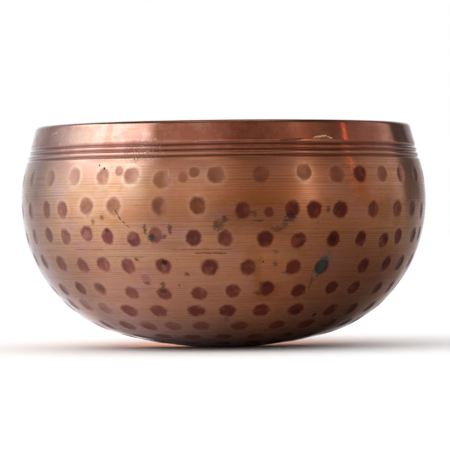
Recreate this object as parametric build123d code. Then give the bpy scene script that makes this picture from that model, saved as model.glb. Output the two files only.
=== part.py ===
from build123d import *
import os
import random
from math import acos, cos, degrees, radians, sin, sqrt, tan

# A thick-walled hammered copper bowl of the singing bowl kind, made from one piece of metal.
# Millimetres, +Z up. The origin is the centre of the small flat foot that the bowl stands on.
# Azimuth 0 is the bowl's front, the -Y side, and azimuth grows towards +X.

# Outside shape: three tangent arcs and a straight rim wall that leans inwards.
max_diameter = 180.0
height = 98.3
foot_radius = 12.0
bottom_radius = 181.0
bottom_end = 14.5
turn_radius = 57.0
turn_end = 39.5
rim_lean = 15.0

# Metal thickness, and the rounded lip.
wall = 2.4
rim_thickness = 4.2
rim_outer_round = 2.0
rim_inner_round = 1.0

# Turned grooves under the lip, measured down from it.
groove_drops = (10.2, 12.5, 15.0)
groove_radius = 0.7
groove_depth = 0.5

# Hammer marks: the round face of the peen, how far its lens stands clear of the wall, and how wide
# the small marks are.
peen_radius = 26.0
peen_clear = 0.08
mean_wall_radius = 75.0
small_mark = 4.2

# One row of marks: (mark width, spacing in degrees, marks on the front half as (azimuth, height)).
mark_rows = [
    (6.7, 10.5, [(-68.7, 75.2), (-56.8, 75.0), (-45.4, 75.3), (-34.8, 75.0), (-25.7, 75.1), (-16.8, 73.3),
                 (-1.9, 75.0), (10.2, 75.1), (22.4, 75.9), (32.6, 75.0), (40.6, 75.0), (49.7, 75.2), (59.4, 75.2)]),
    (7.0, 10.0, [(-69.1, 61.2), (-58.2, 61.4), (-50.2, 61.2), (-40.4, 62.5), (-31.1, 62.4), (-17.4, 62.1),
                 (-6.9, 62.1), (5.2, 59.7), (18.6, 60.3), (25.1, 60.0), (33.3, 59.9), (45.2, 59.9),
                 (56.3, 60.2), (65.6, 60.4)]),
    (6.7, 9.5, [(-68.7, 49.8), (-58.7, 50.5), (-50.3, 49.6), (-41.2, 50.9), (-33.9, 49.6), (-25.6, 48.3),
                (-18.9, 50.0), (-8.3, 48.7), (0.4, 48.5), (11.4, 48.0), (20.9, 47.1), (31.9, 47.4),
                (41.6, 47.4), (51.6, 46.5), (58.8, 48.3)]),
    (7.1, 10.5, [(-68.1, 38.9), (-56.7, 38.0), (-46.3, 37.1), (-37.8, 37.8), (-29.1, 36.9), (-17.8, 36.9),
                 (-4.2, 36.2), (6.9, 36.0), (20.6, 35.8), (29.8, 35.8), (45.8, 35.8), (56.9, 36.7), (66.4, 36.7)]),
    (6.7, 11.5, [(-65.2, 26.8), (-53.1, 27.3), (-43.4, 27.3), (-31.1, 25.5), (-19.6, 25.1), (-8.1, 25.1),
                 (2.7, 26.0), (13.4, 26.8), (24.3, 25.7), (36.2, 26.8), (46.1, 26.4), (59.8, 26.0), (70.4, 26.0)]),
    (7.5, 12.0, [(-57.7, 20.1), (-47.8, 18.6), (-36.4, 17.7), (-24.2, 17.5), (-10.1, 17.5), (1.1, 17.5),
                 (13.1, 17.5), (26.3, 17.5), (42.2, 16.8), (53.6, 17.0), (67.3, 17.5)]),
    (7.8, 13.5, [(-59.9, 11.0), (-45.6, 10.8), (-33.7, 10.7), (-22.1, 10.8), (-9.9, 10.8), (6.1, 10.7),
                 (22.2, 10.8), (36.1, 10.9), (49.4, 10.8), (62.6, 10.8)]),
    (7.8, 17.5, [(-51.0, 5.8), (-34.0, 5.9), (-17.0, 5.8), (-0.6, 5.9), (16.0, 5.8), (33.0, 5.9), (50.0, 5.8)]),
    (7.8, 24.0, [(-26.0, 2.5), (-2.0, 2.4), (22.0, 2.5)]),
]

# Small light marks that fell between the rows, as (azimuth, height).
stray_marks = [(-29.6, 77.1), (-10.9, 74.1), (-7.8, 76.2), (12.2, 59.2), (-24.2, 31.6)]

# The wall radius follows from the other arcs and the largest diameter.
foot_drop = bottom_radius - sqrt(bottom_radius**2 - foot_radius**2)
bottom_reach = bottom_radius * sin(radians(bottom_end))
turn_reach = turn_radius * (sin(radians(turn_end)) - sin(radians(bottom_end)))
wall_radius = (max_diameter / 2 - bottom_reach - turn_reach) / (1 - sin(radians(turn_end)))
wall_end = 90.0 + rim_lean


def next_centre(centre, radius, next_radius, angle):
    """Centre of the arc that carries on smoothly where the wall stands at this angle."""
    shift = radius - next_radius
    return (centre[0] + shift * sin(radians(angle)), centre[1] - shift * cos(radians(angle)))


bottom_centre = (0.0, bottom_radius - foot_drop)
turn_centre = next_centre(bottom_centre, bottom_radius, turn_radius, bottom_end)
wall_centre = next_centre(turn_centre, turn_radius, wall_radius, turn_end)
arcs = [
    (bottom_centre, bottom_radius, bottom_end),
    (turn_centre, turn_radius, turn_end),
    (wall_centre, wall_radius, wall_end),
]


def on_arc(centre, radius, angle):
    """Point of an arc, in radius and height, where the wall stands at this angle."""
    return (centre[0] + radius * sin(radians(angle)), centre[1] - radius * cos(radians(angle)))


def outside_at(z):
    """Radius of the outside at a height, and the angle at which the wall stands there."""
    for centre, radius, end in arcs:
        angle = degrees(acos((centre[1] - z) / radius))
        if angle <= end:
            return on_arc(centre, radius, angle)[0], angle
    top = on_arc(wall_centre, wall_radius, wall_end)
    return top[0] - (z - top[1]) * tan(radians(rim_lean)), wall_end


def arc_run(inset, start_angle, first_point):
    """The three wall arcs, moved into the metal by inset, as a chain of edges."""
    edges = []
    point = first_point
    angle = start_angle
    for centre, radius, end in arcs:
        direction = (cos(radians(angle)), sin(radians(angle)))
        edges.append(JernArc(point, direction, radius - inset, end - angle))
        point = on_arc(centre, radius - inset, end)
        angle = end
    return edges, point


def section():
    """Half of the bowl's section, with its lip rounded and its grooves cut."""
    foot_angle = degrees(acos((bottom_centre[1]) / bottom_radius))
    outer_edges, outer_end = arc_run(0.0, foot_angle, (foot_radius, 0.0))
    inner_start = (0.0, wall - foot_drop)
    inner_edges, inner_end = arc_run(wall, 0.0, inner_start)
    rim_radius = outside_at(height)[0]
    outer_lip = (rim_radius, height)
    inner_lip = (rim_radius - rim_thickness, height)
    lean = (-sin(radians(rim_lean)), cos(radians(rim_lean)))
    edges = [Line((0.0, 0.0), (foot_radius, 0.0))]
    edges += outer_edges
    edges.append(Line(outer_end, outer_lip))
    edges.append(Line(outer_lip, inner_lip))
    edges.append(TangentArc(inner_end, inner_lip, tangent=lean))
    edges += inner_edges
    edges.append(Line(inner_start, (0.0, 0.0)))
    shape = make_face(edges)
    lips = shape.vertices().group_by(Axis.Y)[-1].sort_by(Axis.X)
    shape = fillet(lips[-1], rim_outer_round)
    lips = shape.vertices().filter_by(lambda v: abs(v.Y - height) < 0.01).sort_by(Axis.X)
    shape = fillet(lips[0], rim_inner_round)
    for drop in groove_drops:
        z = height - drop
        out = groove_radius - groove_depth
        shape -= Pos(outside_at(z)[0] + out, z) * Circle(groove_radius)
    return shape


def all_marks():
    """Every hammer mark as (azimuth, height, width), carried on unevenly around the back."""
    uneven = random.Random(11)
    marks = [(azimuth, z, small_mark) for azimuth, z in stray_marks]
    for width, spacing, front in mark_rows:
        marks += [(azimuth, z, width) for azimuth, z in front]
        first, last = front[0], front[-1]
        gap = first[0] + 360.0 - last[0]
        count = round(gap / spacing)
        for step in range(1, count):
            share = step / count
            azimuth = last[0] + gap * share + uneven.uniform(-0.2, 0.2) * spacing
            z = last[1] + (first[1] - last[1]) * share
            z += uneven.uniform(-0.1, 0.1) * min(z, 10.0)
            marks.append((azimuth, z, width))
    return marks


def peen(azimuth, z, width):
    """The shallow lens of space that one blow of the round peen leaves in the wall."""
    depth = (width / 2) ** 2 / 2 * (1 / peen_radius + 1 / mean_wall_radius)
    radius, angle = outside_at(z)
    turn = radians(azimuth)
    tilt = radians(angle)
    middle = (radius * sin(turn), -radius * cos(turn), z)
    outward = (sin(tilt) * sin(turn), -sin(tilt) * cos(turn), -cos(tilt))
    sweep = degrees(acos((peen_radius - depth - peen_clear) / peen_radius))
    face = JernArc((0.0, -depth), (1.0, 0.0), peen_radius, sweep)
    edges = [face, Line(face @ 1, (0.0, peen_clear)), Line((0.0, peen_clear), (0.0, -depth))]
    lens = revolve(Plane.XZ * make_face(edges), Axis.Z)
    return Plane(origin=middle, z_dir=outward) * lens


os.makedirs("parts", exist_ok=True)
bowl = revolve(Plane.XZ * section(), Axis.Z)
bowl -= [peen(*mark) for mark in all_marks()]
bowl.label = "bowl"
export_step(bowl, "parts/bowl.step")
print("bowl volume", round(bowl.volume), "mm3, marks", len(all_marks()), "wall radius", round(wall_radius, 2))
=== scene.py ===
import math
import random

import bpy
import numpy as np
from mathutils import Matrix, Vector
from mathutils.geometry import delaunay_2d_cdt


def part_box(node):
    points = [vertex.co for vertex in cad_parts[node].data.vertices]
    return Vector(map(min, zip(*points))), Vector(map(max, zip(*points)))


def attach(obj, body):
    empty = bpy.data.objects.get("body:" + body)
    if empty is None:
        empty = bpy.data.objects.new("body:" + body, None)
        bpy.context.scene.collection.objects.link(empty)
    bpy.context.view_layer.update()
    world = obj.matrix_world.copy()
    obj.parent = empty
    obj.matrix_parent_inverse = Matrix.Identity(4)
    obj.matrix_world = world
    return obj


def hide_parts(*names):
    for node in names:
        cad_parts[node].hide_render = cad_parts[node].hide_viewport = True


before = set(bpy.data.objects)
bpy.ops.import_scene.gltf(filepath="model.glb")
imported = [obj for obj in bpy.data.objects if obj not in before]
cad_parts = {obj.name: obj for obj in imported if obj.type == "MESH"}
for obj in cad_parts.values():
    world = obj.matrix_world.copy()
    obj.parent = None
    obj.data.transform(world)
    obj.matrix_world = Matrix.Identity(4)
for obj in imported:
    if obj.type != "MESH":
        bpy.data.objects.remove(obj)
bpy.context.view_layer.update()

MM = 0.001
FULL_TURN = 2 * math.pi

# ---------------- the bowl's section, from the frame
low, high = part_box("bowl")
HEIGHT = (high.z - low.z) / MM
MAX_RADIUS = (high.y - low.y) / MM / 2

FOOT_RADIUS = 12.0
BOTTOM_RADIUS, BOTTOM_END = 181.0, math.radians(14.5)
TURN_RADIUS, TURN_END = 57.0, math.radians(39.5)
RIM_LEAN = math.radians(15.0)
WALL = 2.4
RIM_THICKNESS = 4.2
LIP_OUTER, LIP_INNER = 2.0, 1.0
GROOVE_DROPS = (10.2, 12.5, 15.0)
GROOVE_HALF, GROOVE_DEPTH = 0.88, 0.5

# Hammer marks in rings: width, spacing in degrees, and the marks on the front half as (azimuth, height).
# Azimuth 0 is the front, -Y, and it grows towards +X.
MARK_ROWS = [
    (6.7, 10.5, [(-68.7, 75.2), (-56.8, 75), (-45.4, 75.3), (-34.8, 75), (-25.7, 75.1),
                 (-16.8, 73.3), (-1.9, 75), (10.2, 75.1), (22.4, 75.9), (32.6, 75), (40.6, 75),
                 (49.7, 75.2), (59.4, 75.2)]),
    (7, 10, [(-69.1, 61.2), (-58.2, 61.4), (-50.2, 61.2), (-40.4, 62.5), (-31.1, 62.4), (-17.4, 62.1),
                 (-6.9, 62.1), (5.2, 59.7), (18.6, 60.3), (25.1, 60), (33.3, 59.9), (45.2, 59.9),
                 (56.3, 60.2), (65.6, 60.4)]),
    (6.7, 9.5, [(-68.7, 49.8), (-58.7, 50.5), (-50.3, 49.6), (-41.2, 50.9), (-33.9, 49.6), (-25.6, 48.3),
                (-18.9, 50), (-8.3, 48.7), (0.4, 48.5), (11.4, 48), (20.9, 47.1), (31.9, 47.4),
                (41.6, 47.4), (51.6, 46.5), (58.8, 48.3)]),
    (7.1, 10.5, [(-68.1, 38.9), (-56.7, 38), (-46.3, 37.1), (-37.8, 37.8), (-29.1, 36.9), (-17.8, 36.9),
                 (-4.2, 36.2), (6.9, 36), (20.6, 35.8), (29.8, 35.8), (45.8, 35.8), (56.9, 36.7),
                 (66.4, 36.7)]),
    (6.7, 11.5, [(-65.2, 26.8), (-53.1, 27.3), (-43.4, 27.3), (-31.1, 25.5), (-19.6, 25.1), (-8.1, 25.1),
                 (2.7, 26), (13.4, 26.8), (24.3, 25.7), (36.2, 26.8), (46.1, 26.4), (59.8, 26),
                 (70.4, 26)]),
    (7.5, 12, [(-57.7, 20.1), (-47.8, 18.6), (-36.4, 17.7), (-24.2, 17.5), (-10.1, 17.5), (1.1, 17.5),
                 (13.1, 17.5), (26.3, 17.5), (42.2, 16.8), (53.6, 17), (67.3, 17.5)]),
    (7.8, 13.5, [(-59.9, 11), (-45.6, 10.8), (-33.7, 10.7), (-22.1, 10.8), (-9.9, 10.8), (6.1, 10.7),
                 (22.2, 10.8), (36.1, 10.9), (49.4, 10.8), (62.6, 10.8)]),
    (7.8, 17.5, [(-51, 5.8), (-34, 5.9), (-17, 5.8), (-0.6, 5.9), (16, 5.8), (33, 5.9),
                 (50, 5.8)]),
    (7.8, 24, [(-26, 2.5), (-2, 2.4), (22, 2.5)]),
]
STRAY_MARKS = [(-29.6, 77.1), (-10.9, 74.1), (-7.8, 76.2), (12.2, 59.2), (-24.2, 31.6)]
SMALL_MARK = 4.2
PEEN_RADIUS, MEAN_WALL_RADIUS = 26.0, 75.0
HOLLOW_SHARE, BULGE_SHARE = 0.75, 0.28  # shares of a mark's full depth, outside and behind it
RAISED_EDGE, WAVE_HEIGHT = 0.012, 0.012
MARKS_STOP = 1.1  # from the lowest groove's middle down to the hammered wall's top
OFF_THE_WALL = -99.0  # an arc length that no mark is near


def arc_chain():
    """The outside's three arcs as (centre, radius, start angle, end angle) in millimetres."""
    foot_drop = BOTTOM_RADIUS - math.sqrt(BOTTOM_RADIUS**2 - FOOT_RADIUS**2)
    reach = BOTTOM_RADIUS * math.sin(BOTTOM_END)
    reach += TURN_RADIUS * (math.sin(TURN_END) - math.sin(BOTTOM_END))
    wall_radius = (MAX_RADIUS - reach) / (1 - math.sin(TURN_END))
    chain = []
    centre = (0.0, BOTTOM_RADIUS - foot_drop)
    radius = BOTTOM_RADIUS
    start = math.asin(FOOT_RADIUS / BOTTOM_RADIUS)
    bends = ((TURN_RADIUS, BOTTOM_END), (wall_radius, TURN_END), (None, math.pi / 2 + RIM_LEAN))
    for next_radius, end in bends:
        chain.append((centre, radius, start, end))
        if next_radius is not None:
            shift = radius - next_radius
            centre = (centre[0] + shift * math.sin(end), centre[1] - shift * math.cos(end))
            radius = next_radius
        start = end
    return chain


ARCS = arc_chain()


def arc_points(centre, radius, start, end, step=0.05):
    count = max(2, int(abs(end - start) * radius / step))
    angle = np.linspace(start, end, count)
    return np.stack([centre[0] + radius * np.sin(angle), centre[1] - radius * np.cos(angle)], axis=1)


def line_points(start, end, step=0.05):
    count = max(2, int(math.dist(start, end) / step))
    share = np.linspace(0.0, 1.0, count)[:, None]
    return np.array(start) * (1 - share) + np.array(end) * share


def round_corner(before, corner, after, radius):
    """Points of the round that replaces a corner, from one tangent point to the other."""
    u = (np.array(before) - corner) / math.dist(before, corner)
    v = (np.array(after) - corner) / math.dist(after, corner)
    half = math.acos(float(np.clip(u @ v, -1, 1))) / 2
    reach = radius / math.tan(half)
    middle = (u + v) / np.linalg.norm(u + v)
    centre = np.array(corner) + middle * radius / math.sin(half)
    first, last = np.array(corner) + u * reach, np.array(corner) + v * reach
    a = math.atan2(*(first - centre)[::-1])
    b = math.atan2(*(last - centre)[::-1])
    b = a + (b - a + math.pi) % FULL_TURN - math.pi
    angle = np.linspace(a, b, 40)
    return centre + radius * np.stack([np.cos(angle), np.sin(angle)], axis=1)


class Profile:
    """A run of the section, read by its arc length: radius, height and outward normal."""

    def __init__(self, points):
        points = np.array(points)
        steps = np.linalg.norm(np.diff(points, axis=0), axis=1)
        keep = np.concatenate([[True], steps > 1e-6])
        self.points = points[keep]
        steps = np.linalg.norm(np.diff(self.points, axis=0), axis=1)
        self.length = np.concatenate([[0.0], np.cumsum(steps)])
        tangent = np.gradient(self.points, self.length, axis=0)
        tangent /= np.linalg.norm(tangent, axis=1)[:, None]
        self.normal = np.stack([tangent[:, 1], -tangent[:, 0]], axis=1)
        self.total = float(self.length[-1])

    def at(self, s):
        r = np.interp(s, self.length, self.points[:, 0])
        z = np.interp(s, self.length, self.points[:, 1])
        nr = np.interp(s, self.length, self.normal[:, 0])
        nz = np.interp(s, self.length, self.normal[:, 1])
        return r, z, nr, nz


def outside_profile():
    """From the foot's edge up the outside, over the lip and down the inside to the middle."""
    outer = np.concatenate([arc_points(*arc) for arc in ARCS])
    top = outer[-1]
    lip = (top[0] - (HEIGHT - top[1]) * math.tan(RIM_LEAN), HEIGHT)
    inner_lip = (lip[0] - RIM_THICKNESS, HEIGHT)
    inner = np.concatenate([arc_points(c, r - WALL, 0.0 if i == 0 else a, b)
                            for i, (c, r, a, b) in enumerate(ARCS)])
    # the inside's rim thickens towards the lip, along one arc that leaves the wall smoothly
    start = inner[-1]
    lean = np.array([-math.sin(RIM_LEAN), math.cos(RIM_LEAN)])
    chord = np.array(inner_lip) - start
    across = np.array([-lean[1], lean[0]])
    radius = (chord @ chord) / (2 * (chord @ across))
    centre = start + across * radius
    a = math.atan2(*(start - centre)[::-1])
    b = math.atan2(*(np.array(inner_lip) - centre)[::-1])
    sweep = np.linspace(a, b, 300)
    rim_inside = centre + abs(radius) * np.stack([np.cos(sweep), np.sin(sweep)], axis=1)
    outer_round = round_corner(top, lip, inner_lip, LIP_OUTER)
    inner_round = round_corner(lip, inner_lip, rim_inside[-40], LIP_INNER)
    near = np.linalg.norm(rim_inside - inner_round[-1], axis=1).argmin()
    parts = [outer, line_points(top, outer_round[0])[1:], outer_round[1:],
             line_points(outer_round[-1], inner_round[0])[1:], inner_round[1:],
             rim_inside[:near][::-1], inner[::-1][1:]]
    return Profile(np.concatenate(parts))


PROFILE = outside_profile()
LIP_INDEX = PROFILE.points[:, 1].argmax()
OUT_S, OUT_Z = PROFILE.length[:LIP_INDEX], PROFILE.points[:LIP_INDEX, 1]


def s_at(height):
    """Arc length on the outside at a height."""
    return float(np.interp(height, OUT_Z, OUT_S))


# ---------------- hammer marks
def all_marks():
    """Every hammer mark as (azimuth, height, width, row), in the same order as the CAD model's."""
    uneven = random.Random(11)
    marks = [(azimuth, z, SMALL_MARK, 0) for azimuth, z in STRAY_MARKS]
    for row, (width, spacing, front) in enumerate(MARK_ROWS):
        marks += [(azimuth, z, width, row) for azimuth, z in front]
        first, last = front[0], front[-1]
        gap = first[0] + 360.0 - last[0]
        count = round(gap / spacing)
        for step in range(1, count):
            share = step / count
            azimuth = last[0] + gap * share + uneven.uniform(-0.2, 0.2) * spacing
            z = last[1] + (first[1] - last[1]) * share
            z += uneven.uniform(-0.1, 0.1) * min(z, 10.0)
            marks.append((azimuth, z, width, row))
    return marks


rng = np.random.default_rng(5)
MARKS = all_marks()
MARK_AZ = np.radians([m[0] for m in MARKS])
MARK_S = np.array([s_at(m[1]) for m in MARKS])
MARK_A = np.array([m[2] / 2 for m in MARKS])
MARK_R = PROFILE.at(MARK_S)[0]
MARK_DEPTH = MARK_A**2 / 2 * (1 / PEEN_RADIUS + 1 / MEAN_WALL_RADIUS)
MARK_ROW = np.array([m[3] for m in MARKS])
WOBBLE = rng.uniform(-1.0, 1.0, (len(MARKS), 4))
MARK_NARROW = rng.uniform(0.88, 1.0, len(MARKS))

# How much oxide covers each row's marks, and how dark it is; marks right of the front have more of it.
ROW_COVER = np.array([0.50, 0.80, 0.94, 0.93, 0.88, 0.92, 0.84, 1.00, 1.00])
ROW_DARK = np.array([0.40, 0.30, 0.74, 0.68, 0.68, 0.78, 0.80, 1.00, 1.00])
RIGHT = np.clip(np.degrees(MARK_AZ) / 12.0, 0, 1) * np.clip((100.0 - np.degrees(MARK_AZ)) / 30.0, 0, 1)
MARK_COVER = np.clip(ROW_COVER[MARK_ROW] + 0.22 * RIGHT + rng.uniform(-0.12, 0.12, len(MARKS)), 0, 1)
MARK_TONE = np.clip(ROW_DARK[MARK_ROW] + 0.28 * RIGHT + rng.uniform(-0.2, 0.2, len(MARKS)), 0, 1)
# Every mark gets a faint painted highlight ring; the marks below get a stronger one.
MARK_HIGHLIGHT_RING = rng.uniform(0.0, 0.28, len(MARKS))
# Marks with a painted highlight, a bright ring round them, and its strength.
HIGHLIGHT_RINGED = {
    (-56.8, 75): 0.3, (-45.4, 75.3): 0.6, (-34.8, 75): 0.55, (-25.7, 75.1): 0.95,
    (-16.8, 73.3): 0.4, (-7.8, 76.2): 0.6, (-1.9, 75): 0.8, (22.4, 75.9): 1,
    (32.6, 75): 0.35, (49.7, 75.2): 0.5, (-50.2, 61.2): 0.35, (-40.4, 62.5): 0.45,
    (-31.1, 62.4): 0.45, (-6.9, 62.1): 0.5,
}
# Marks unlike their row: how much of them is covered, and how dark they are.
UNLIKE = {
    (22.4, 75.9): (0.62, 0.3), (59.4, 75.2): (0.45, 0.3), (40.6, 75): (1, 1),
    (25.1, 60): (1, 1), (33.3, 59.9): (1, 0.95), (-40.4, 62.5): (0.85, 0.3),
    (-6.9, 62.1): (0.92, 0.25), (-31.1, 62.4): (0.75, 0.25), (-45.4, 75.3): (0.38, 0.4),
    (-8.3, 48.7): (1, 1), (20.9, 47.1): (1, 0.9), (-41.2, 50.9): (1, 0.7),
    (-37.8, 37.8): (1, 0.6), (-29.1, 36.9): (1, 0.7), (-4.2, 36.2): (1, 1),
    (45.8, 35.8): (1, 1), (-10.1, 17.5): (1, 1), (1.1, 17.5): (1, 1),
    (-57.7, 20.1): (0.6, 0.5), (-47.8, 18.6): (0.5, 0.4), (-68.7, 49.8): (0.65, 0.5),
    (-43.4, 27.3): (0.85, 0.4),
}
for index, found in enumerate(MARKS):
    MARK_HIGHLIGHT_RING[index] = HIGHLIGHT_RINGED.get(found[:2], MARK_HIGHLIGHT_RING[index])
    MARK_COVER[index], MARK_TONE[index] = UNLIKE.get(found[:2], (MARK_COVER[index], MARK_TONE[index]))


def mark_reach(index, angle):
    """How far a mark's edge stands from its centre, as a share of its half width, by direction."""
    w = WOBBLE[index]
    oval = 1.0 / np.hypot(np.cos(angle) / MARK_NARROW[index], np.sin(angle))
    return oval * (1.0 + 0.04 * w[:, 0] * np.cos(2 * angle + 3 * w[:, 1])
                   + 0.035 * w[:, 2] * np.cos(3 * angle + 3 * w[:, 3]))


def nearest_mark(azimuth, s):
    """For each surface point: the nearest mark, and the distance to it as a share of its reach."""
    best = np.full(azimuth.shape, 9.0)
    which = np.zeros(azimuth.shape, int)
    r = PROFILE.at(s)[0]
    for i in range(len(MARKS)):
        ds = s - MARK_S[i]
        near = np.abs(ds) < 3.2 * MARK_A[i]
        if not near.any():
            continue
        turn = (azimuth[near] - MARK_AZ[i] + math.pi) % FULL_TURN - math.pi
        dx = turn * (r[near] + MARK_R[i]) / 2
        dist = np.hypot(dx, ds[near])
        angle = np.arctan2(ds[near], dx)
        q = dist / (MARK_A[i] * mark_reach(np.full(dist.shape, i), angle))
        index = np.flatnonzero(near)
        closer = q < best[index]
        best[index[closer]] = q[closer]
        which[index[closer]] = i
    return which, np.minimum(best, 3.0)


WAVES = [(rng.integers(2, 26), rng.uniform(0.1, 0.45), rng.uniform(0, FULL_TURN)) for _ in range(26)]


def unevenness(azimuth, s):
    """Slight waviness that hand work leaves in the wall, in millimetres."""
    total = np.zeros(azimuth.shape)
    for turns, along, phase in WAVES:
        total += np.sin(turns * azimuth + along * s + phase)
    return total * WAVE_HEIGHT


S_GROOVES = [s_at(HEIGHT - drop) for drop in GROOVE_DROPS]
S_TOP = S_GROOVES[-1] - MARKS_STOP
S_LIP = float(PROFILE.length[LIP_INDEX])
S_INSIDE = S_LIP + RIM_THICKNESS


def groove_cut(s):
    """Depth of the turned grooves, with steep sides and soft bottoms."""
    depth = np.zeros(s.shape)
    for middle in S_GROOVES:
        x = (s - middle) / GROOVE_HALF
        depth += GROOVE_DEPTH * np.where(np.abs(x) < 1, (np.cos(math.pi * x) + 1) / 2, 0) ** 0.55
    return depth


def mark_relief(azimuth, s):
    """How far the marks move the outside: a hollow each, with a faint raised edge round it."""
    which, q = nearest_mark(azimuth, s)
    hollow = np.clip(1 - (q / 1.08) ** 2, 0.0, 1.0) ** 1.35 * MARK_DEPTH[which] * HOLLOW_SHARE
    return np.exp(-((q - 1.2) / 0.12) ** 2) * RAISED_EDGE - hollow


def mark_bulge(azimuth, s):
    """How far the inside stands up, in a faint soft bulge behind each mark."""
    which, q = nearest_mark(azimuth, s)
    return BULGE_SHARE * MARK_DEPTH[which] * np.exp(-(q / 1.05) ** 2)


def surface(azimuth, s):
    """Points of the finished surface in millimetres: the section turned about Z, with every cut in it."""
    r, z, nr, nz = PROFILE.at(s)
    hammered = s < S_TOP
    inside = s > S_INSIDE
    move = np.where(hammered, mark_relief(azimuth, np.where(hammered, s, OFF_THE_WALL)), 0.0)
    # the foot stays flat, and the turned rim is truer than the hammered wall
    calm = np.where(s > S_TOP, 0.35, 1.0) * np.clip((s - 6.0) / 20.0, 0, 1)
    move = move + np.where(inside, 0.0, unevenness(azimuth, s) * calm) - groove_cut(s)
    behind = np.where(inside, INSIDE_MATCH(s), OFF_THE_WALL)
    move = move + np.where(inside, mark_bulge(azimuth, behind), 0.0)
    r = r + nr * move
    z = z + nz * move
    return np.stack([r * np.sin(azimuth), -r * np.cos(azimuth), z], axis=-1)


def inside_match(every=20):
    """A function from arc length on the inside to the arc length on the outside behind it."""
    run = PROFILE.length > S_INSIDE
    s_in = PROFILE.length[run]
    z_in = PROFILE.points[run, 1]
    r_in = PROFILE.points[run, 0]
    n_in = PROFILE.normal[run]
    r_out, z_out = r_in - n_in[:, 0] * WALL, z_in - n_in[:, 1] * WALL
    out = PROFILE.points[:LIP_INDEX]
    behind = zip(r_out[::every], z_out[::every])
    match = [OUT_S[((out - point) ** 2).sum(1).argmin()] for point in behind]
    knots = s_in[::every]
    return lambda s: np.interp(s, knots, match)


INSIDE_MATCH = inside_match()


def normals(azimuth, s):
    """Outward unit normals of the finished surface, from small steps each way."""
    step = 0.12
    turn = step / np.maximum(PROFILE.at(s)[0], 2.0)
    low_s, high_s = np.clip(s - step, 0, PROFILE.total), np.clip(s + step, 0, PROFILE.total)
    across = surface(azimuth + turn, s) - surface(azimuth - turn, s)
    along = surface(azimuth, high_s) - surface(azimuth, low_s)
    n = np.cross(across, along)
    return n / np.maximum(np.linalg.norm(n, axis=1), 1e-12)[:, None]


# ---------------- the mesh
RIM_COLUMNS = 300
FOOT_COLUMNS = 60
GRID_STEP = 1.75
ROW_STEP = GRID_STEP * 0.87
# Rings of points in and round each mark: radius as a share of the mark's reach, and number of points.
RINGS = ((0.3, 6), (0.55, 11), (0.78, 16), (0.93, 20), (1.02, 22), (1.16, 22), (1.36, 22))
CLEAR_OF_RINGS = RINGS[-1][0] + 0.24
SEAM_OVERLAP = 0.35
FOOT_RINGS = (9.0, 6.0, 3.0)


def conformal(s):
    """Stretches arc length so that the turned wall unrolls without skewing small shapes."""
    return np.interp(s, CONF_S, CONF_Y)


CONF_S = np.linspace(0.0, S_TOP + 2.0, 6000)
CONF_RADIUS = PROFILE.at((CONF_S[1:] + CONF_S[:-1]) / 2)[0]
CONF_Y = np.concatenate([[0.0], np.cumsum(np.diff(CONF_S) / CONF_RADIUS)])


def hammered_points():
    """Azimuth and arc length of the hammered wall's points: rings in each mark, and rows between."""
    mix = np.random.default_rng(3)
    azimuth, s = [], []
    for i in range(len(MARKS)):
        azimuth.append([MARK_AZ[i]])
        s.append([MARK_S[i]])
        for share, count in RINGS:
            angle = np.arange(count) * FULL_TURN / count + mix.uniform(0, 6.28)
            reach = MARK_A[i] * share * mark_reach(np.full(count, i), angle)
            azimuth.append(MARK_AZ[i] + reach * np.cos(angle) / MARK_R[i])
            s.append(MARK_S[i] + reach * np.sin(angle))
    rows = round(S_TOP / ROW_STEP)
    for row in range(1, rows):
        level = S_TOP * row / rows
        radius = PROFILE.at(level)[0]
        count = round(FULL_TURN * radius / GRID_STEP)
        angle = (np.arange(count) + 0.5 * (row % 2)) * FULL_TURN / count
        jitter = mix.uniform(-0.05, 0.05, (2, count)) * GRID_STEP
        azimuth.append(angle + jitter[0] / radius)
        s.append(np.full(count, level) + jitter[1])
    return np.concatenate(azimuth) % FULL_TURN, np.concatenate(s)


def thin_out(azimuth, s):
    """Drops row points that crowd a mark's rings, and ring points that crowd an earlier mark."""
    in_each = 1 + sum(count for _, count in RINGS)
    owner = np.repeat(np.arange(len(MARKS)), in_each)
    ring_total = len(owner)
    which, q = nearest_mark(azimuth, s)
    keep = q > CLEAR_OF_RINGS
    keep[:ring_total] = which[:ring_total] == owner
    keep &= (s > 0.5) & (s < S_TOP - 0.5)
    return azimuth[keep], s[keep]


def hammered_mesh():
    """Points and triangles of the hammered wall, closed around the bowl."""
    azimuth, s = thin_out(*hammered_points())
    foot = np.arange(FOOT_COLUMNS) * FULL_TURN / FOOT_COLUMNS
    top = np.arange(RIM_COLUMNS) * FULL_TURN / RIM_COLUMNS
    azimuth = np.concatenate([foot, top, azimuth])
    s = np.concatenate([np.zeros(FOOT_COLUMNS), np.full(RIM_COLUMNS, S_TOP), s])
    y = conformal(s)
    # the unrolled wall is a little wider than one turn, and only one turn's triangles are kept
    left = np.flatnonzero(azimuth > FULL_TURN - SEAM_OVERLAP)
    right = np.flatnonzero(azimuth < SEAM_OVERLAP)
    x = np.concatenate([azimuth, azimuth[left] - FULL_TURN, azimuth[right] + FULL_TURN])
    home = np.concatenate([np.arange(len(s)), left, right])
    flat = [Vector(point) for point in zip(x.tolist(), y[home].tolist())]
    where, _, faces, origin, _, _ = delaunay_2d_cdt(flat, [], [], 0, 1e-9, True)
    first = np.array([sources[0] for sources in origin])
    where_x = np.array([point.x for point in where])
    tris = np.array([face for face in faces if len(face) == 3])
    middle = where_x[tris].mean(axis=1)
    tris = tris[(middle >= 0) & (middle < FULL_TURN)]
    return azimuth, s, home[first[tris]]


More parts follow.
